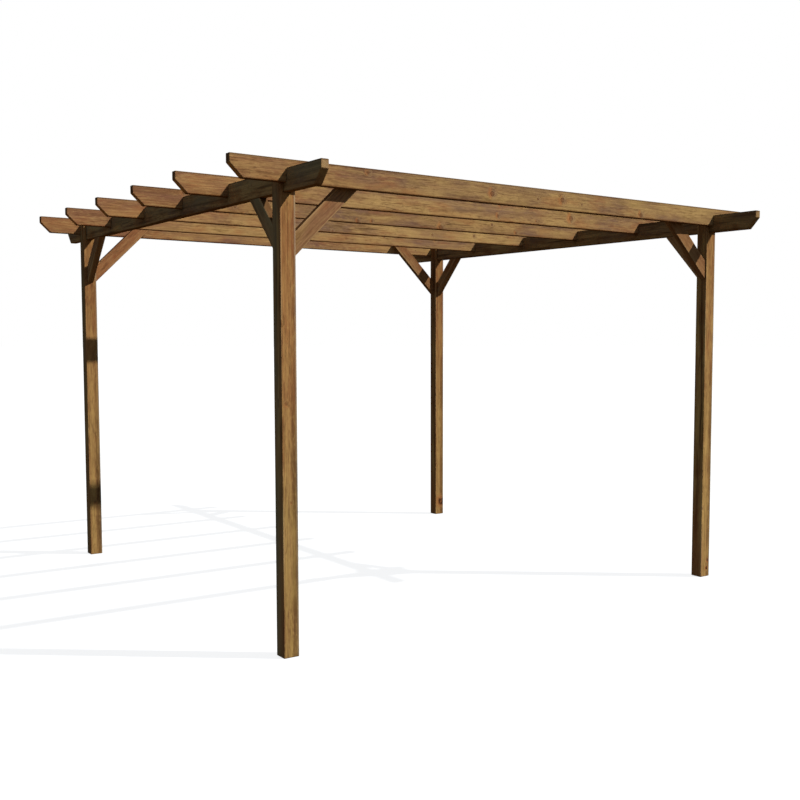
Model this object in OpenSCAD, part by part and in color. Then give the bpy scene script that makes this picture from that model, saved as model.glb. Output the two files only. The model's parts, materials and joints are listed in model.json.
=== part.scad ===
// Timber pergola: four forked posts carry two beams, six rafters are halved over the beams,
// and a brace stiffens each post both ways. X runs along the rafters, Y along the beams.

/* [Plan] */
// Across the posts along the rafters, outside to outside
plan_w = 3390; // [2400:10:4200]
// Across the posts along the beams, outside to outside
plan_d = 3500; // [2600:10:4400]
// Ground to the rafters' top edge
top_h = 2640; // [2300:5:3000]

/* [Posts] */
// Side of the square posts
post_size = 90; // [80:1:140]
// Depth that the end rafters are let into the post heads
let_in = 8; // [6:1:20]

/* [Roof timbers] */
// Thickness of the beams, rafters and braces
timber_t = 45; // [35:1:50]
// Depth of the beams and rafters
timber_h = 120; // [110:1:150]
// Upright part of every sawn end, above its slanted cut
end_stub = 48; // [30:1:70]
// Beam beyond the outer face of the posts
beam_over = 410; // [300:5:600]
// Rafter beyond the outer face of the posts
rafter_over = 290; // [200:5:400]
// Rafters' top edge above the beams' top edge
rafter_rise = 45; // [30:1:60]

/* [Braces] */
// Width of the braces' face
brace_w = 90; // [60:1:100]
// Underside of the beam down to the toe of a brace
brace_drop = 330; // [240:5:420]

/* [Hidden] */

// Depth past a face by which a cutter clears it
past = 1;
// Level lines
rafter_bottom = top_h - timber_h;
beam_top = top_h - rafter_rise;
beam_bottom = beam_top - timber_h;
toe_z = beam_bottom - brace_drop;
// Each halving takes half of the depth that beam and rafter share
notch = (beam_top - rafter_bottom) / 2;
// Lengths
rafter_len = plan_w + 2 * rafter_over;
beam_len = plan_d + 2 * beam_over;
// The beams run along the middle of the posts
beam_x = (plan_w - post_size) / 2;
// Front faces of the rafters: an even pitch from the front of the posts to the back,
// with the first and last let into the outer faces of the posts
bays = 5;
pitch = plan_d / bays;
first_y = let_in - timber_t;
last_y = plan_d - let_in;
rafter_y = [for (k = [0:bays]) (k == 0 ? first_y : k == bays ? last_y : k * pitch) - plan_d / 2];
// A brace at 45 degrees meets an upright face over this height
brace_foot = brace_w * sqrt(2);

post_color = "peru";
beam_color = "saddlebrown";
rafter_color = "burlywood";
brace_color = "sienna";

// Side view of a roof timber: square on top, both lower corners sawn off at 45 degrees
module sawn_profile(length) {
    slant = timber_h - end_stub;
    polygon([
        [-length / 2, timber_h],
        [-length / 2, slant],
        [-length / 2 + slant, 0],
        [length / 2 - slant, 0],
        [length / 2, slant],
        [length / 2, timber_h]
    ]);
}

// Post with a fork for the beam and a shoulder for the end rafter, outer face towards -Y
module post_timber() {
    difference() {
        translate([-post_size / 2, 0, 0])
            cube([post_size, post_size, beam_top]);
        translate([-timber_t / 2, -past, beam_bottom])
            cube([timber_t, post_size + 2 * past, timber_h + past]);
        translate([-post_size / 2 - past, -past, rafter_bottom])
            cube([post_size + 2 * past, let_in + past, timber_h]);
    }
}

// Beam along Y, halved from above where each rafter crosses it
module beam_timber() {
    translate([-timber_t / 2, 0, beam_bottom])
        rotate([90, 0, 90])
            linear_extrude(timber_t)
                difference() {
                    sawn_profile(beam_len);
                    for (y = rafter_y)
                        translate([y, timber_h - notch])
                            square([timber_t, notch + past]);
                }
}

// Rafter along X, halved from below where it crosses the two beams
module rafter_timber() {
    translate([0, timber_t, rafter_bottom])
        rotate([90, 0, 0])
            linear_extrude(timber_t)
                difference() {
                    sawn_profile(rafter_len);
                    for (x = [-beam_x, beam_x])
                        translate([x - timber_t / 2, -past])
                            square([timber_t, notch + past]);
                }
}

// Brace at 45 degrees in the X-Z plane, its foot sawn plumb at x = 0 and its head level at head_z
module brace_timber(head_z) {
    rise = head_z - toe_z;
    translate([0, timber_t, toe_z])
        rotate([90, 0, 0])
            linear_extrude(timber_t)
                polygon([
                    [0, 0],
                    [rise, rise],
                    [rise - brace_foot, rise],
                    [0, brace_foot]
                ]);
}

// Puts a front left piece at one of the four corners: side -1 is left, end -1 is front
module at_corner(side, end) {
    mirror([side > 0 ? 1 : 0, 0, 0])
        mirror([0, end > 0 ? 1 : 0, 0])
            translate([-beam_x, -plan_d / 2, 0])
                children();
}

module post(side, end) {
    color(post_color)
        at_corner(side, end)
            post_timber();
}

module beam(side) {
    color(beam_color)
        translate([side * beam_x, 0, 0])
            beam_timber();
}

module rafter(number) {
    color(rafter_color)
        translate([0, rafter_y[number - 1], 0])
            rafter_timber();
}

// Brace under a beam: stands on the post's inner face and meets the beam's underside
module beam_brace(side, end) {
    color(brace_color)
        at_corner(side, end)
            translate([timber_t / 2, post_size, 0])
                rotate([0, 0, 90])
                    brace_timber(beam_bottom);
}

// Brace beside an end rafter: stands on the post's inner face and laps the rafter's inner face
module rafter_brace(side, end) {
    color(brace_color)
        at_corner(side, end)
            translate([post_size / 2, let_in, 0])
                brace_timber(beam_top);
}

post(-1, -1);  // front_left_post
post(1, -1);  // front_right_post
post(-1, 1);  // rear_left_post
post(1, 1);  // rear_right_post
beam(-1);  // left_beam
beam(1);  // right_beam
rafter(1);  // rafter_1
rafter(2);  // rafter_2
rafter(3);  // rafter_3
rafter(4);  // rafter_4
rafter(5);  // rafter_5
rafter(6);  // rafter_6
beam_brace(-1, -1);  // front_left_beam_brace
beam_brace(1, -1);  // front_right_beam_brace
beam_brace(-1, 1);  // rear_left_beam_brace
beam_brace(1, 1);  // rear_right_beam_brace
rafter_brace(-1, -1);  // front_left_rafter_brace
rafter_brace(1, -1);  // front_right_rafter_brace
rafter_brace(-1, 1);  // rear_left_rafter_brace
rafter_brace(1, 1);  // rear_right_rafter_brace
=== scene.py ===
# %% [markdown]
# # A stained timber pergola
# The frame of posts, beams, rafters and braces comes in ready made, at its real size in metres.
# This lesson dresses it: every timber gets eased edges and a brown stained wood that knows which way
# its grain runs. Loading the frame first means that nothing has to be placed or scaled by hand.

# %% Load the frame
import json
import math
import random
from types import SimpleNamespace

import bmesh
import bpy
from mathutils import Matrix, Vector


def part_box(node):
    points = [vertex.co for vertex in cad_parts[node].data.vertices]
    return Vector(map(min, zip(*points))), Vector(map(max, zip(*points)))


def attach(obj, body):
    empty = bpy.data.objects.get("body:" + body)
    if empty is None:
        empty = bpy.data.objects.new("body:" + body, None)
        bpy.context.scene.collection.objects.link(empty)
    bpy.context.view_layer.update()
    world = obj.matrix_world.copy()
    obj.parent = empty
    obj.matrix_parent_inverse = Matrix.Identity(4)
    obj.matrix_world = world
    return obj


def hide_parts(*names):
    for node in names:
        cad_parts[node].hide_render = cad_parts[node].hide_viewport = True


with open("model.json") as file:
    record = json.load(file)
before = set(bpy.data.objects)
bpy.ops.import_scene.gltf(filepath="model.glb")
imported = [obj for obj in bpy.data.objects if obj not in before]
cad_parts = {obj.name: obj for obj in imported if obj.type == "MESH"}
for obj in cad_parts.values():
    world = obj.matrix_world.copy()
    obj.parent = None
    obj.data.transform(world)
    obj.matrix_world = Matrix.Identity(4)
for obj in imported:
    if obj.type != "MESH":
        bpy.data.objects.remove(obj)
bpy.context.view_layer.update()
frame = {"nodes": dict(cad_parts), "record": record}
print("timbers in the frame:", len(frame["nodes"]))

# %% [markdown]
# ## The camera
# The view is from the front left at eye level, so the two near sides of the roof run off to the left and
# to the right. A camera could be aimed with a Track To constraint, but the three angles of a solved view
# are exact and easy to read: turn it right by the yaw, tip it by the pitch, lean it by the roll.
# The lens shift stands for a picture that was cropped off centre.

# %% Camera
IMAGE_SIDE = 800
FOCAL_PIXELS = 1052.3
CENTRE_PIXEL = (491.7, 415.4)
SENSOR_WIDTH = 36
VIEW_PLACE = (-4.166, -6.818, 1.712)
VIEW_YAW = 37.285
VIEW_PITCH = -4.116
VIEW_ROLL = -0.234

camera = bpy.data.objects.new("camera", bpy.data.cameras.new("camera"))
bpy.context.collection.objects.link(camera)
camera.location = VIEW_PLACE
camera.rotation_euler = [math.radians(a) for a in (90 + VIEW_PITCH, VIEW_ROLL, -VIEW_YAW)]
camera.data.sensor_width = SENSOR_WIDTH
camera.data.lens = SENSOR_WIDTH * FOCAL_PIXELS / IMAGE_SIDE
camera.data.shift_x = (IMAGE_SIDE / 2 - CENTRE_PIXEL[0]) / IMAGE_SIDE
camera.data.shift_y = (CENTRE_PIXEL[1] - IMAGE_SIDE / 2) / IMAGE_SIDE
bpy.context.scene.camera = camera
bpy.context.scene.view_settings.view_transform = "Standard"
print("lens of", round(camera.data.lens, 1), "mm, shift", round(camera.data.shift_x, 3))

# %% [markdown]
# ## Writing shaders as sums
# A wood is a long calculation: rings, streaks, knots. Wiring it node by node hides the idea, so one small
# class wraps a socket. Adding or multiplying two of them adds the Math node, and every other node comes
# from one method that takes its type, its settings and what goes into its sockets.


# %% Sockets with arithmetic
class Wire:
    """A socket of a node tree. Arithmetic on it adds Math nodes."""

    def __init__(self, tree, socket=None):
        self.tree = tree
        self.socket = socket

    def node(self, kind, settings, values, out=0):
        made = self.tree.nodes.new(kind)
        for name, value in settings.items():
            setattr(made, name, value)
        for name, value in values.items():
            if isinstance(value, Wire):
                self.tree.links.new(value.socket, made.inputs[name])
            else:
                made.inputs[name].default_value = value
        return Wire(self.tree, made.outputs[out] if made.outputs else None)

    def other(self, name):
        """Another output of the node that this socket belongs to."""
        return Wire(self.tree, self.socket.node.outputs[name])

    def parts(self):
        """The three numbers of a vector or colour."""
        first = self.node("ShaderNodeSeparateXYZ", {}, {0: self})
        return first, first.other("Y"), first.other("Z")

    def math(self, operation, first, second=0.0):
        return self.node("ShaderNodeMath", {"operation": operation}, {0: first, 1: second})

    def __add__(self, other):
        return self.math("ADD", self, other)

    def __sub__(self, other):
        return self.math("SUBTRACT", self, other)

    def __rsub__(self, other):
        return self.math("SUBTRACT", other, self)

    def __mul__(self, other):
        return self.math("MULTIPLY", self, other)

    def __truediv__(self, other):
        return self.math("DIVIDE", self, other)

    __radd__ = __add__
    __rmul__ = __mul__

    def step(self, start, end):
        """0 before start and 1 after end, smooth in between. Start may be the larger."""
        settings = {"interpolation_type": "SMOOTHSTEP"}
        return self.node("ShaderNodeMapRange", settings, {0: self, 1: start, 2: end})

    def at_least(self, share):
        """The same mask, lifted so that it never falls below a share."""
        return share + self * (1 - share)

    def vector(self, operation, other, out=0):
        return self.node("ShaderNodeVectorMath", {"operation": operation}, {0: self, 1: other}, out)

    def noise(self, waves, detail=2.0):
        """Soft noise from 0 to 1, with so many waves to the metre on each axis."""
        values = {"Vector": self.vector("MULTIPLY", waves), "Scale": 1.0, "Detail": detail}
        return self.node("ShaderNodeTexNoise", {"noise_dimensions": "3D"}, values)

    def tint(self, base, coat, share):
        """A base colour with its share of another one laid over it."""
        return self.node("ShaderNodeMix", {"data_type": "RGBA"}, {0: share, 6: base, 7: coat}, 2)


print("sockets can be added and multiplied")

# %% [markdown]
# ## The studio
# A plain pale floor and a main lamp from the front right, which is what makes the front faces warm and
# leaves the left faces and the undersides dark. A lamp near by would throw shadows that spread. One that
# is far away throws parallel ones, and a width of about a degree keeps them clear, so the rafters draw
# dark bands across the left post behind. A much softer lamp from the rear keeps the back readable. The
# floor and the world are white only to the camera and in reflections: a white room that also lit the wood
# would wash out its dark sides.

# %% Floor, world and lamps
FLOOR_SIDE = 400
FLOOR_GLOW = 0.82
FLOOR_WHITE = 1.03
FLOOR_PALE = (0.8, 0.8, 0.8, 1)
FLOOR_BOUNCE = (0.062, 0.046, 0.027, 1)
FILL_COLOUR = (0.74, 1.00, 1.34, 1)
FILL_LEVEL = 0.27
WHITE = (1, 1, 1, 1)
MAIN_LAMP = {"start": (0.536, -0.440, 0.722), "level": 6.1, "width": 0.9}
REAR_LAMP = {"start": (0.30, 0.91, 0.28), "level": 2.4, "width": 20}


def white_rays(tree):
    """1 for the rays that see a white background, 0 for those that light the wood."""
    seen = Wire(tree).node("ShaderNodeLightPath", {}, {}, "Is Camera Ray")
    mirrored = seen.math("MAXIMUM", seen.other("Is Glossy Ray"), seen.other("Is Transmission Ray"))
    return seen.math("MAXIMUM", seen, mirrored)


def studio_world():
    world = bpy.data.worlds.new("studio")
    world.use_nodes = True
    world.node_tree.nodes.clear()
    start = Wire(world.node_tree)
    fill = start.node("ShaderNodeBackground", {}, {"Color": FILL_COLOUR, "Strength": FILL_LEVEL})
    white = start.node("ShaderNodeBackground", {}, {"Color": WHITE, "Strength": 1.0})
    sky = start.node("ShaderNodeMixShader", {}, {0: white_rays(start.tree), 1: fill, 2: white})
    start.node("ShaderNodeOutputWorld", {}, {"Surface": sky})
    return world


def studio_floor():
    bm = bmesh.new()
    bmesh.ops.create_grid(bm, x_segments=1, y_segments=1, size=FLOOR_SIDE / 2)
    mesh = bpy.data.meshes.new("floor")
    bm.to_mesh(mesh)
    bm.free()
    material = bpy.data.materials.new("pale_floor")
    material.use_nodes = True
    material.node_tree.nodes.clear()
    start = Wire(material.node_tree)
    seen = white_rays(start.tree)
    matt = start.node("ShaderNodeBsdfDiffuse", {}, {"Color": start.tint(FLOOR_BOUNCE, FLOOR_PALE, seen)})
    glow = start.node("ShaderNodeEmission", {}, {"Color": WHITE, "Strength": FLOOR_WHITE})
    pale = start.node("ShaderNodeMixShader", {}, {0: seen * FLOOR_GLOW, 1: matt, 2: glow})
    start.node("ShaderNodeOutputMaterial", {}, {"Surface": pale})
    mesh.materials.append(material)
    floor = bpy.data.objects.new("floor", mesh)
    bpy.context.collection.objects.link(floor)


def far_lamp(name, start, level, width):
    """A lamp so far off that its light comes in parallel. A wider one has softer shadows."""
    lamp = bpy.data.objects.new(name, bpy.data.lights.new(name, "SUN"))
    lamp.data.energy = level
    lamp.data.angle = math.radians(width)
    lamp.rotation_euler = Vector(start).to_track_quat("Z", "Y").to_euler()
    bpy.context.collection.objects.link(lamp)


bpy.context.scene.world = studio_world()
studio_floor()
far_lamp("main_lamp", **MAIN_LAMP)
far_lamp("rear_lamp", **REAR_LAMP)
print("studio ready, main lamp", MAIN_LAMP["width"], "degrees wide")

# %% [markdown]
# ## Which way the grain runs
# Grain follows the length of a timber: upright in a post, level in a beam or rafter, slanting in a brace.
# The object's own coordinates can't tell the shader that, so each timber carries three directions: along
# its length, across its thin side and across its deep side. The names of the timbers say all of it.

# %% Directions of a timber
UP = Vector((0, 0, 1))
RIGHT = Vector((1, 0, 0))
REAR = Vector((0, 1, 0))


def directions(name):
    """Along the timber, across its thickness and across its depth."""
    if name.endswith("post"):
        return UP, RIGHT, REAR
    if name.endswith("beam"):
        return REAR, RIGHT, UP
    if name.startswith("rafter"):
        return RIGHT, REAR, UP
    if name.endswith("beam_brace"):
        level, across = (REAR if "front" in name else -REAR), RIGHT
    else:
        level, across = (RIGHT if "left" in name else -RIGHT), REAR
    return (level + UP).normalized(), across, (UP - level).normalized()


for name in ("front_left_post", "rafter_1", "rear_right_beam_brace"):
    print(name, "runs along", [round(v, 2) for v in directions(name)[0]])

# %% [markdown]
# ## Timbers with eased edges
# A sawn and planed timber has its sharp edges taken off. Each piece starts as a copy of its plain timber:
# the loose triangles are merged, flat neighbours are dissolved into whole faces, and the outward edges are
# bevelled by a few millimetres. A Bevel modifier would round the inward corners of the notches too, but a
# saw leaves those sharp, so the outward edges are picked one by one and the bevel is made in the mesh.

# %% Easing the edges
EASE = 0.004
EASE_STEPS = 3
SHARP = math.radians(20)
FLAT = math.radians(1)
SEAM = 1e-5


def eased_mesh(name, source):
    """A copy of a plain timber with its outward edges rounded, and the faces of that rounding."""
    bm = bmesh.new()
    bm.from_mesh(source)
    bmesh.ops.remove_doubles(bm, verts=bm.verts, dist=SEAM)
    bmesh.ops.dissolve_limit(bm, angle_limit=FLAT, verts=bm.verts, edges=bm.edges)
    outward = [e for e in bm.edges if e.is_convex and e.calc_face_angle(0) > SHARP]
    eased = bmesh.ops.bevel(
        bm,
        geom=outward,
        offset=EASE,
        offset_type="OFFSET",
        affect="EDGES",
        segments=EASE_STEPS,
        profile=0.5,
        material=-1,
        clamp_overlap=True,
    )
    bm.faces.index_update()
    rounded = {f.index for f in eased["faces"] if f.is_valid}
    mesh = bpy.data.meshes.new(name)
    bm.to_mesh(mesh)
    bm.free()
    return mesh, rounded


print("edges eased by", EASE * 1000, "mm")

# %% [markdown]
# ## What the wood has to know
# Weather and light treat the faces of a timber differently: sawn ends drink more stain, undersides stay
# dark, with painted shade on them, and the lee side, turned away from the main lamp, gets a painted
# grey-green shade tint. A shader could guess this from the surface normal, but then it would change when a
# timber turns, so the
# mesh carries it: each point knows its place in the tree and in the timber's own section, and each face
# knows its kind, how its timber has weathered and how much painted shade it takes.

# %% Marking points and faces
# How far a face has to turn one way to be of a kind, from 0 to 1
SQUARE_END = 0.9
SLANTED_END = 0.6
FACES_AWAY = 0.8
EASED_DOWN = 0.2
FACES_UP = 0.5
FACES_FRONT = 0.5


def mark_points(mesh, axes, heart, middle):
    """Stores where each point lies in the tree and in the timber's own section."""
    for attribute in ("grain", "section"):
        mesh.attributes.new(attribute, "FLOAT_VECTOR", "POINT")
    layers = mesh.attributes
    for point, in_tree, in_timber in zip(mesh.vertices, layers["grain"].data, layers["section"].data):
        here = Vector([point.co.dot(axis) for axis in axes])
        in_tree.vector = here - heart
        in_timber.vector = here - middle


def mark_faces(mesh, rounded, axes, size, look):
    """Stores what kind of face each one is, the timber's build, how it has weathered and its painted shade
    tint.
    """
    marks = ("end_kind", "level_kind", "build", "weather_and_shade")
    for attribute in marks:
        mesh.attributes.new(attribute, "FLOAT_VECTOR", "FACE")
    layers = [mesh.attributes[attribute].data for attribute in marks]
    for face, end_kind, level_kind, build, weather_and_shade in zip(mesh.polygons, *layers):
        eased = face.index in rounded
        lean = 0.0 if eased else abs(face.normal.dot(axes[0]))
        lee = float(face.normal.x < -FACES_AWAY)
        under = float(face.normal.z < (-EASED_DOWN if eased else -FACES_AWAY))
        top = float(face.normal.z > FACES_UP)
        front = float(face.normal.y < -FACES_FRONT)
        end_kind.vector = (float(lean > SQUARE_END), float(SLANTED_END < lean <= SQUARE_END), lee)
        level_kind.vector = (under, top, look.rusty_head)
        build.vector = (look.tone, size[1] / 2, size[2] / 2)
        # The first share is a painted grey-green shade tint on faces turned away from the main lamp
        weather_and_shade.vector = (look.film * lee, look.damp * front, look.rust)


print("faces are told apart as ends, undersides, tops, fronts and the lee side")

# %% [markdown]
# ## Knots
# A knot is a branch that the trunk grew round: a dark eye, and rings that part to flow past it. Each could
# be modelled, but they are flat in a planed board. A Voronoi texture scatters points over the tree, and the
# distance to the nearest one, counted in knot radii, is all that the colours need. The few knots that
# catch the eye on the real rafters and at the feet of the posts get their own place.

# %% Knots
KNOT_EVERY = 0.42
KNOT_CELL = 0.13
KNOT_SCATTER = 0.9
KNOT_LONG = 1.2
KNOT_LEAST = 0.0003
KNOT_SIZES = (0.25, 0.95)
KNOT_SIDE = (0.006, -0.012)
KNOT_WOBBLE = (30, 60, 60)
CLEAR_KNOT_SIDE = (0.004, -0.012)
CLEAR_KNOT_REACH = (4.2, 4.0)
# Each clear knot has a place and a radius in metres
CLEAR_KNOTS = {
    "rafters": (
        (-0.334, -1.787, 2.577, 0.014),
        (0.216, -1.787, 2.585, 0.014),
        (0.908, -1.787, 2.540, 0.013),
        (0.941, -1.050, 2.587, 0.017),
        (0.275, -1.050, 2.560, 0.009),
        (-0.418, -0.350, 2.534, 0.009),
        (-0.305, -0.350, 2.542, 0.007),
        (0.284, -0.350, 2.536, 0.015),
        (0.992, -0.350, 2.541, 0.009),
    ),
    "posts": (
        (1.674, 1.660, 0.125, 0.027),
        (1.666, -1.750, 0.061, 0.008),
    ),
}


def scattered_knots(grain, largest):
    """Distance to the nearest knot in knot radii, a random number for each knot, and 1 on one side of it."""
    along, thin, deep = grain.parts()
    cells = grain.node("ShaderNodeCombineXYZ", {}, {0: along / KNOT_EVERY, 1: (thin + deep) / KNOT_CELL})
    values = {"Vector": cells, "Scale": 1.0, "Randomness": KNOT_SCATTER}
    spot = grain.node("ShaderNodeTexVoronoi", {"voronoi_dimensions": "2D"}, values, "Position")
    apart = cells.vector("SUBTRACT", spot).vector("MULTIPLY", (KNOT_EVERY / KNOT_LONG, KNOT_CELL, 0))
    size, luck, _ = spot.other("Color").parts()
    radius = size.step(*KNOT_SIZES) * largest + KNOT_LEAST
    distance = apart.vector("LENGTH", (0, 0, 0), "Value") / radius
    return distance, luck, apart.parts()[0].step(*KNOT_SIDE)


def knots(grain, place, slot, largest):
    """The scattered knots together with those that have a place of their own."""
    distance, luck, side = scattered_knots(grain, largest)
    to_right = place.parts()[0]
    for x, y, z, radius in CLEAR_KNOTS.get(slot, ()):
        here = place.vector("DISTANCE", (x, y, z), "Value") / radius
        near = here.step(*CLEAR_KNOT_REACH)
        distance = distance.math("MINIMUM", distance, here)
        luck = luck * (1 - near) + near
        side = side * (1 - near) + to_right.step(*(x + edge for edge in CLEAR_KNOT_SIDE)) * near
    uneven = grain.noise(KNOT_WOBBLE) * 0.6 + 0.7
    return distance * uneven, luck, side


print("knots with their own place:", sum(len(spots) for spots in CLEAR_KNOTS.values()))

# %% [markdown]
# ## Rings
# Softwood is a stack of cones round the heart of the tree, so the rings are distances from a heart line
# that wanders and tapers. A board cut from that shows long arches on its face and arcs on its ends, with no
# unwrapping. A Wave texture has straight bands and would miss both.

# %% Rings
RING_PITCH = 0.0065
RING_TAPER = 0.007
WANDER = (0.8, 3, 3)
WANDER_BY = 0.035
RIPPLE = (5, 30, 30)
RIPPLE_BY = 0.006
SWAY = (2.0, 7, 7)
SWAY_BY = (0, 0.02, 0.02)
KNOT_PUSH = 0.014
KNOT_LIFT = 0.016
HALF = (0.5, 0.5, 0.5)


def swayed(grain, bend):
    """The place in the tree, pushed aside by knots and by a slow sway of the fibres."""
    sway = grain.noise(SWAY).other("Color").vector("SUBTRACT", HALF)
    push = grain.node("ShaderNodeCombineXYZ", {}, {1: bend * KNOT_PUSH, 2: bend * KNOT_PUSH})
    return grain.vector("ADD", sway.vector("MULTIPLY", SWAY_BY)).vector("ADD", push)


def late_wood(grain, bend):
    """1 in the dark part of each yearly ring."""
    from_heart = grain.vector("MULTIPLY", (0, 1, 1)).vector("LENGTH", (0, 0, 0), "Value")
    wander = (grain.noise(WANDER) - 0.5) * WANDER_BY
    ripple = (grain.noise(RIPPLE) - 0.5) * RIPPLE_BY
    depth = from_heart + grain.parts()[0] * RING_TAPER + wander + ripple + bend * KNOT_LIFT
    ring = grain.math("FRACT", depth / RING_PITCH)
    return ring.step(0.25, 0.85) - ring.step(0.9, 1.0)


print("rings every", RING_PITCH * 1000, "mm")

# %% [markdown]
# ## The figure of the grain
# Close up, stained wood is a sum of marks of very different length: clouds as long as a hand, streaks as
# long as an arm, flecks, threads and fibres. All are one Noise texture stretched along the grain by
# different amounts. They are kept together in one record, so each coat of colour can pick what it needs.

# %% Figure
# Waves to the metre along the grain and across it
WIDE_CLOUDS = (1.7, 8, 8)
SMALL_CLOUDS = (7, 18, 18)
BLUSHES = (5, 14, 14)
STREAKS = (1.6, 50, 50)
BUSY_PLACES = (1.9, 11, 11)
FLECKS = (26, 90, 90)
THREADS = (10, 130, 130)
FIBRES = (60, 700, 700)
SPLITS = (0.8, 24, 24)
SPLIT_PLACES = (1.1, 6, 6)
# Reach of the grain's bend round a knot, in knot radii
HALO = 3.8


def splits(grain, fibres):
    """1 along the fine cracks that open as a timber dries."""
    ridge = grain.math("ABSOLUTE", fibres.noise(SPLITS, 1.0) - 0.5)
    return ridge.step(0.008, 0.003) * grain.noise(SPLIT_PLACES).step(0.60, 0.66)


def figure(grain, place, slot, largest_knot):
    """Every mark of the grain, from 0 to 1, apart from the distance to a knot."""
    knot, luck, side = knots(grain, place, slot, largest_knot)
    bend = knot.step(HALO, 0.6)
    fibres = swayed(grain, bend)
    return SimpleNamespace(
        knot=knot,
        luck=luck,
        side=side,
        bend=bend,
        late=late_wood(grain, bend),
        cloud=fibres.noise(WIDE_CLOUDS, 3.0) * 0.7 + fibres.noise(SMALL_CLOUDS) * 0.3,
        blush=fibres.noise(BLUSHES, 3.0),
        streak=fibres.noise(STREAKS),
        busy=0.35 + grain.noise(BUSY_PLACES).step(0.36, 0.60) * 0.75,
        fleck=fibres.noise(FLECKS),
        thread=fibres.noise(THREADS),
        fibre=fibres.noise(FIBRES, 1.0),
        split=splits(grain, fibres),
    )


print("longest mark", round(1 / STREAKS[0], 2), "m, finest", round(1000 / FIBRES[1], 1), "mm")

# %% [markdown]
# ## Where a point lies
# The marks on the mesh come back in the shader through Attribute nodes. From them follow the distance from
# the nearest edge, where handling wears the stain, and the distances from the lower and the top edge, where
# lines of painted shade run. Masks could be painted by hand instead, but these fit a timber of any size.

# %% Places on a timber


def attribute(start, name):
    return start.node("ShaderNodeAttribute", {"attribute_name": name}, {}, "Vector")


def places(start, place):
    """The kind of face that a point is on, and where it lies in the timber and over the ground."""
    square, slant, lee = attribute(start, "end_kind").parts()
    under, top, rusty_head = attribute(start, "level_kind").parts()
    tone, half_thin, half_deep = attribute(start, "build").parts()
    # The first of these is the painted grey-green shade tint of the lee side
    film, damp, rust = attribute(start, "weather_and_shade").parts()
    _, thin, deep = attribute(start, "section").parts()
    along_rafters, _, height = place.parts()
    thin_inset = half_thin - start.math("ABSOLUTE", thin)
    deep_inset = half_deep - start.math("ABSOLUTE", deep)
    return SimpleNamespace(
        square=square,
        slant=slant,
        lee=lee,
        under=under,
        top=top,
        tone=tone,
        film=film,
        damp=damp,
        rust=rust,
        rusty_head=rusty_head,
        thin=thin,
        deep=deep,
        along_rafters=along_rafters,
        height=height,
        from_edge=start.math("MAXIMUM", thin_inset, deep_inset),
        over_edge=deep + half_deep,
        below_top=half_deep - deep,
    )


print("places are read from the mesh")

# %% [markdown]
# ## Colours of the stain
# Colours are easiest to pick as the eye reads them, from 0 to 255, but a shader counts light. The helper
# turns one into the other. Each kind of timber has a light, a middle and a plum brown of its own; the rest
# are shared by all of them.

# %% Colours


def stain(red, green, blue):
    """A colour as the eye reads it, for a socket that takes light: the sRGB curve undone."""
    def light(v):
        v = v / 255
        return v / 12.92 if v <= 0.04045 else ((v + 0.055) / 1.055) ** 2.4
    return (light(red), light(green), light(blue), 1.0)


UMBER = stain(94, 64, 40)
ORANGE = stain(166, 102, 58)
RUST = stain(150, 88, 52)
OLIVE = stain(132, 108, 52)
KNOT_BROWN = stain(98, 54, 32)
BARK = stain(56, 34, 20)
WORN = stain(190, 156, 108)
SAWN = stain(198, 128, 56)
# Dark red: on undersides and along lower edges it is painted shade with warm bounce light; on the lee side
# it makes red-brown blotches
UNDER_RED = stain(92, 46, 10)
# Nearly black painted shade, for upward faces and for a line just below a top edge
PAINTED_TOP_SHADE = stain(60, 36, 16)
WET_BROWN = stain(98, 72, 40)
PAINTED_SHADE_GREEN = stain(124, 118, 88)
# A painted shade colour: the grey-green of faces in shade on the lee side
SILVER = stain(132, 130, 118)
print("umber as light:", [round(v, 3) for v in UMBER[:3]])

# %% [markdown]
# ## Coats of colour
# The colour is a pile of coats, each a colour and a mask that says how much of it shows. The ground comes
# first: light and plum clouds, rusty and olive blushes, and the slow changes over a whole timber. Posts are
# rustier from the waist up, and below it dry and pale on the left and wet and dark on the right; rafters
# are rusty towards the left end and plum along the top edge. One painted picture could hold all of this,
# but coats can be changed one at a time. In a mask, the two numbers of a step say where it starts and where
# it is full, and the factor behind it is the largest share of the coat.

# %% Ground
# Heights over the ground, in metres
WET_HEIGHT = (1.7, 1.0)
DAMP_HEIGHT = (1.3, 0.0)
RUST_HEIGHT = (0.8, 2.2)
RUSTY_HEAD_HEIGHT = (0.7, 1.6)
# Places across a post from left to right of its middle, in metres
DRY_STARTS = (-0.043, -0.026)
DRY_ENDS = (-0.004, 0.016)
WET_STARTS = (-0.004, 0.020)
# Places up and along a rafter, in metres
PLUM_EDGE = (0.0, 0.055)
RUSTY_END = (-0.7, -1.9)


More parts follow.
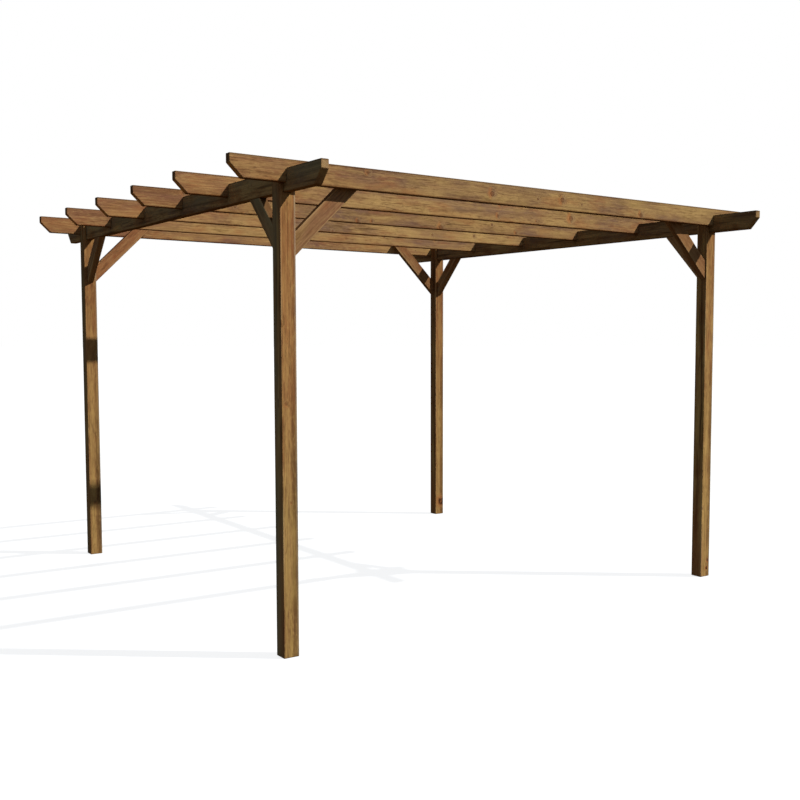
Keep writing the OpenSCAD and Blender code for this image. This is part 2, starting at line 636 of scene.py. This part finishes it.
def ground_coats(wood, marks, at):
    low = at.height.step(*WET_HEIGHT).at_least(0.15)
    wet = at.thin.step(*WET_STARTS) * low * marks.cloud.step(0.6, 0.45).at_least(0.6)
    dry = (at.thin.step(*DRY_STARTS) - at.thin.step(*DRY_ENDS)) * low
    damp = at.height.step(*DAMP_HEIGHT) * marks.streak.step(0.3, 0.6) * at.damp
    return (
        (wood.light, marks.cloud.step(0.46, 0.63)),
        (wood.plum, marks.cloud.step(0.52, 0.34)),
        (wood.plum, at.deep.step(*PLUM_EDGE) * marks.cloud.step(0.62, 0.42) * wood.plum_top),
        (RUST, marks.blush.step(0.50, 0.70) * 0.4),
        (OLIVE, marks.blush.step(0.48, 0.32) * 0.25),
        (RUST, at.rust),
        (RUST, at.height.step(*RUST_HEIGHT) * wood.rust_above),
        (RUST, at.height.step(*RUSTY_HEAD_HEIGHT) * at.rusty_head),
        (RUST, at.along_rafters.step(*RUSTY_END) * wood.rust_left),
        (WET_BROWN, wet * wood.wet),
        (wood.light, dry * wood.wet * 0.8),
        (OLIVE, damp * 0.45),
    )


print("posts turn rusty between", RUST_HEIGHT[0], "and", RUST_HEIGHT[1], "m over the ground")

# %% [markdown]
# ## Grain and knots
# Over the ground go ever finer lines of dark and light, from streaks to fibres. A knot gets a halo, orange
# on one side and plum on the other, pale rings round it, and a dark eye with a rim. Close to the ground,
# where a post stays damp, knots rot: their halo turns rusty and the eye frays. One colour ramp over a sum of
# all marks would blur them together; lines that are laid over the clouds stay crisp, which is why the order
# of the coats matters.

# %% Grain and knots
# Distances from the middle of a knot, in knot radii
ORANGE_HALO = (3.4, 1.6)
EYE = (1.15, 0.85)
RIM_STARTS = (1.25, 1.1)
RIM_ENDS = (1.05, 0.9)
ROTTEN_HALO = (2.2, 1.0)
ROTTEN_EYE = (1.7, 0.9)
# Rings to the knot radius, round the eye and in it
HALO_RINGS = 1.3
EYE_RINGS = 2.2
# Height over the ground, in metres
ROTTEN_HEIGHT = (0.4, 0.2)


def grain_coats(wood, marks):
    return (
        (UMBER, marks.streak.step(0.50, 0.28) * 0.35),
        (wood.light, marks.streak.step(0.50, 0.70) * 0.3),
        (UMBER, marks.fleck.step(0.48, 0.28) * marks.busy * wood.flecks),
        (wood.light, marks.fleck.step(0.52, 0.72) * marks.busy * wood.flecks),
        (UMBER, marks.late * (0.16 + marks.bend * 0.3)),
        (UMBER, marks.thread.step(0.50, 0.26) * marks.busy * 0.55),
        (wood.light, marks.thread.step(0.51, 0.72) * 0.3),
        (UMBER, marks.fibre.step(0.50, 0.30) * 0.25),
    )


def knot_coats(wood, marks, at):
    rotten = at.height.step(*ROTTEN_HEIGHT)
    lucky = marks.luck.step(0.35, 0.5) * marks.thread.step(0.30, 0.55)
    ring = marks.knot.math("FRACT", marks.knot * HALO_RINGS)
    eye_ring = marks.knot.math("FRACT", marks.knot * EYE_RINGS).step(0.3, 0.8)
    rim = marks.knot.step(*RIM_STARTS) - marks.knot.step(*RIM_ENDS)
    return (
        (wood.plum, marks.bend * (1 - marks.side) * 0.5),
        (wood.light, marks.bend * (ring.step(0.25, 0.45) - ring.step(0.55, 0.8)) * 0.6),
        (ORANGE, marks.knot.step(*ORANGE_HALO) * marks.side * lucky * 0.6),
        (KNOT_BROWN, marks.knot.step(*EYE) * (0.35 + eye_ring * 0.4)),
        (BARK, rim * 0.5),
        (RUST, marks.knot.step(*ROTTEN_HALO) * rotten * 0.6),
        (BARK, marks.knot.step(*ROTTEN_EYE) * marks.fleck.step(0.60, 0.46) * rotten),
    )


print("a knot's halo reaches", HALO, "radii")

# %% [markdown]
# ## What weather does, and painted shade
# Edges and sawn ends are worn pale, and the right edge of a post has gone silver. Dry splits are dark, and
# a long one runs down from the head of the near post. Upward faces are painted nearly black as shade, with a
# line of painted shade just below a top edge, and undersides and a line along a lower edge get painted shade
# in red, with the warm colour of bounce light. The lee side carries dark and pale streaks, a painted
# grey-green shade tint that is thickest away from the front edge, and ends painted dark as shade; on a post
# it is painted darker above, as shade, and reddish at the foot, as bounce light from the ground. These coats
# could be mixed with the stain, but they come after it, so they go on last.

# %% Weather
# Distances from an edge of a timber, in metres
WORN_EDGE = (0.014, 0.002)
# The next two are for the lines of painted shade below a top edge and along a lower edge
UPPER_SHADE_LINE_EDGE = (0.012, 0.005)
LOWER_SHADE_LINE_EDGE = (0.012, 0.003)
# Places across a timber from its middle, in metres
SILVER_EDGE = (0.030, 0.041)
# Where the painted grey-green shade tint on the lee side starts
SHADE_GREEN_STARTS = (-0.045, 0.03)
LONG_SPLIT_OFF = 0.006
LONG_SPLIT_WANDER = 0.008
LONG_SPLIT_WIDTH = (0.0026, 0.0010)
# Heights over the ground, in metres
LONG_SPLIT_HEIGHT = (1.65, 2.1)
# The next two are for painted shade high on the lee side and painted bounce light at its foot
LEE_SHADE_HEIGHT = (1.3, 2.4)
LEE_BOUNCE_HEIGHT = (1.2, 0.1)


def long_split(marks, at):
    """1 along the split in the front of a post that has gathered damp."""
    off_split = at.thin.math("ABSOLUTE", at.thin + LONG_SPLIT_OFF - marks.cloud * LONG_SPLIT_WANDER)
    return off_split.step(*LONG_SPLIT_WIDTH) * at.height.step(*LONG_SPLIT_HEIGHT) * at.damp.step(0.5, 0.9)


def weather_and_shade_coats(wood, marks, at):
    # A painted grey-green shade tint on the lee faces, thickest away from the front edge
    film = at.film * at.deep.step(*SHADE_GREEN_STARTS).at_least(0.15) * marks.cloud.step(0.62, 0.42).at_least(0.4)
    worn = at.from_edge.step(*WORN_EDGE) * marks.streak.step(0.40, 0.62)
    return (
        (BARK, at.lee * marks.streak.step(0.48, 0.28) * 0.55),
        (UNDER_RED, at.lee * (0.12 + marks.blush.step(0.52, 0.68) * 0.3)),
        # Lee faces are painted darker up high as shade under the roof, and orange at the foot of a post as
        # bounce light from the ground
        (BARK, at.lee * at.height.step(*LEE_SHADE_HEIGHT) * wood.foot * 0.45),
        (ORANGE, at.lee * at.height.step(*LEE_BOUNCE_HEIGHT) * wood.foot),
        (wood.light, at.lee * marks.streak.step(0.52, 0.72) * 0.6),
        (WORN, at.square * (1 - marks.late) * (1 - at.lee) * 0.6),
        # Square ends on the lee side are painted dark as shade
        (BARK, at.square * at.lee * 0.5),
        (SAWN, at.slant * wood.sawn),
        (WORN, worn * 0.45),
        (BARK, marks.split * 0.5),
        (BARK, long_split(marks, at) * 0.5),
        (SILVER, at.thin.step(*SILVER_EDGE) * (1 - at.lee) * wood.wet * 0.55),
        # The painted grey-green shade tint goes on here
        (PAINTED_SHADE_GREEN, film),
        # Upward faces are painted nearly black as shade
        (PAINTED_TOP_SHADE, at.top * 0.7),
        # Painted shade lines: one just below a top edge, and one in dark red along a lower edge
        (PAINTED_TOP_SHADE, at.below_top.step(*UPPER_SHADE_LINE_EDGE) * wood.drip),
        (UNDER_RED, at.over_edge.step(*LOWER_SHADE_LINE_EDGE) * wood.drip),
        # Undersides get painted shade in dark red, with the warm colour of bounce light
        (UNDER_RED, at.under * 0.15),
    )


print("edges are worn over", WORN_EDGE[0] * 1000, "mm")

# %% [markdown]
# ## The finished wood
# One loop mixes all coats. The same marks also drive the surface: late wood sinks a little and is smoother,
# fibres roughen it, splits cut in. An oil stain soaks in and leaves the wood matt, so its specular level is
# zero; even a weak gloss would draw pale lines along edges that are seen at a slant. Posts, beams, rafters
# and braces were stained from different pots, so each has a finish of its own, written as what sets it
# apart from a plain one.

# %% Wood
PLAIN_FINISH = {
    "rust_above": 0.0,
    "rust_left": 0.0,
    "plum_top": 0.0,
    "wet": 0.0,
    # The share of painted shade lines along the top and lower edges
    "drip": 0.0,
    "sawn": 0.0,
    # The share of painted shade and bounce light on the lee side of a post
    "foot": 0.0,
}
FINISHES = {
    "posts": {
        "light": stain(186, 149, 88), "middle": stain(160, 121, 73), "plum": stain(138, 95, 61),
        "flecks": 0.36, "knot": 0.007, "rust_above": 0.2, "wet": 0.7, "foot": 0.45,
    },
    "beams": {
        "light": stain(176, 140, 88), "middle": stain(150, 114, 75), "plum": stain(122, 94, 75),
        "flecks": 0.42, "knot": 0.010, "drip": 0.45,
    },
    "rafters": {
        "light": stain(178, 143, 90), "middle": stain(153, 118, 79), "plum": stain(125, 96, 77),
        "flecks": 0.40, "knot": 0.008, "rust_left": 0.4, "plum_top": 0.5, "drip": 0.6, "sawn": 0.6,
    },
    "braces": {
        "light": stain(168, 132, 87), "middle": stain(146, 110, 73), "plum": stain(130, 92, 65),
        "flecks": 0.38, "knot": 0.007, "rust_above": 0.05,
    },
}
GLOSS = 0.0
ROUGHNESS = 0.74
RELIEF_SHARE = 0.5
RELIEF_DEPTH = 0.0015


def stained_wood(slot, wood):
    material = bpy.data.materials.new(slot + "_wood")
    material.use_nodes = True
    shader = material.node_tree.nodes["Principled BSDF"]
    start = Wire(material.node_tree)
    place = start.node("ShaderNodeTexCoord", {}, {}, "Object")
    marks = figure(attribute(start, "grain"), place, slot, wood.knot)
    at = places(start, place)

    colour = wood.middle
    coats = ground_coats(wood, marks, at) + grain_coats(wood, marks)
    coats += knot_coats(wood, marks, at) + weather_and_shade_coats(wood, marks, at)
    for coat, share in coats:
        colour = start.tint(colour, coat, share)
    colour = start.node("ShaderNodeVectorMath", {"operation": "SCALE"}, {0: colour, "Scale": at.tone})
    proud = marks.knot.step(1.1, 0.8) * 0.3 - marks.late * 0.35 - marks.split * 0.5
    height = marks.thread * 0.3 + marks.fibre * 0.4 + proud
    relief = {"Strength": RELIEF_SHARE, "Distance": RELIEF_DEPTH, "Height": height}
    bump = start.node("ShaderNodeBump", {}, relief)
    rough = ROUGHNESS + marks.thread * 0.2 - marks.late * 0.08

    links = material.node_tree.links
    links.new(colour.socket, shader.inputs["Base Color"])
    links.new(rough.socket, shader.inputs["Roughness"])
    links.new(bump.socket, shader.inputs["Normal"])
    shader.inputs["Specular IOR Level"].default_value = GLOSS
    return material


woods = {}
for slot, finish in FINISHES.items():
    woods[slot] = stained_wood(slot, SimpleNamespace(**PLAIN_FINISH | finish))
    print(slot, "wood has", len(woods[slot].node_tree.nodes), "nodes")

# %% [markdown]
# ## Every timber in its place
# A loop makes all twenty. Each draws its own place in the tree: far along it, so that no two timbers share
# their knots, and with the heart inside a post but outside a board, as a sawmill cuts them. A few timbers
# came out of the pot darker or rustier, or have gathered damp; some take a painted grey-green shade tint on
# their lee side, and the beams are darker as painted shade, so their looks are listed by name.
# A material for each timber would say the same at twenty times the length.

# %% Build the timbers
HEART_IN_POST = 0.018
HEART_OUT = (0.030, 0.070)
TREE_LENGTH = 60
# A look is a tone, then shares of rust, of rust above the waist, of a painted grey-green shade tint on the
# lee side and of damp
PLAIN_LOOK = {"tone": 1.0, "rust": 0.0, "rusty_head": 0.0, "film": 0.0, "damp": 0.0}
LOOKS = {
    "front_left_post": {"tone": 0.95, "rusty_head": 0.5, "film": 0.65, "damp": 1.0},
    "front_right_post": {"tone": 0.97, "rust": 0.1},
    "rear_left_post": {"tone": 0.85, "rust": 0.40, "film": 0.6},
    "rear_right_post": {"tone": 0.85, "rust": 0.42},
    # The darker tones of the two beams are painted shade, for their shaded left faces that the fill light
    # lifts too much
    "left_beam": {"tone": 0.94, "film": 0.5},
    "right_beam": {"tone": 0.78, "rust": 0.1, "film": 0.1},
    "rafter_1": {"tone": 0.94},
    "rafter_3": {"tone": 0.90, "rust": 0.05},
    "rafter_5": {"tone": 0.97, "rust": 0.05},
    "rafter_6": {"tone": 0.95, "rust": 0.2},
    "front_left_beam_brace": {"tone": 0.90, "film": 1.0},
    "rear_left_rafter_brace": {"tone": 0.92, "rust": 0.5},
    "front_right_rafter_brace": {"tone": 0.83, "rust": 0.4},
    "rear_right_rafter_brace": {"tone": 0.77, "rust": 0.4},
}
draw = random.Random(11)


def slot_of(name):
    return next(s["material_slot"] for s in frame["record"]["subparts"] if s["node"] == name)


def heart_line(name, axes):
    """A point of the tree's heart, in the timber's own directions."""
    low, high = (Vector(corner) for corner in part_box(name))
    middle = Vector([((low + high) / 2).dot(axis) for axis in axes])
    if name.endswith("post"):
        off = (draw.uniform(-1, 1) * HEART_IN_POST, draw.uniform(-1, 1) * HEART_IN_POST)
    else:
        off = (draw.choice((-1, 1)) * draw.uniform(*HEART_OUT), draw.uniform(-1, 1) * HEART_OUT[0])
    return middle + Vector((draw.uniform(-1, 1) * TREE_LENGTH, *off))


for name in sorted(frame["nodes"]):
    axes = directions(name)
    mesh, rounded = eased_mesh(name + "_timber", frame["nodes"][name].data)
    reach = [[point.co.dot(axis) for point in mesh.vertices] for axis in axes]
    middle = Vector([(min(along) + max(along)) / 2 for along in reach])
    size = [max(along) - min(along) for along in reach]
    look = SimpleNamespace(**PLAIN_LOOK | LOOKS.get(name, {}))
    mark_points(mesh, axes, heart_line(name, axes), middle)
    mark_faces(mesh, rounded, axes, size, look)
    mesh.materials.clear()
    mesh.materials.append(woods[slot_of(name)])
    timber = bpy.data.objects.new(name + "_timber", mesh)
    bpy.context.collection.objects.link(timber)
    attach(timber, "root")
    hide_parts(name)
    print(timber.name, "has", len(mesh.polygons), "faces")
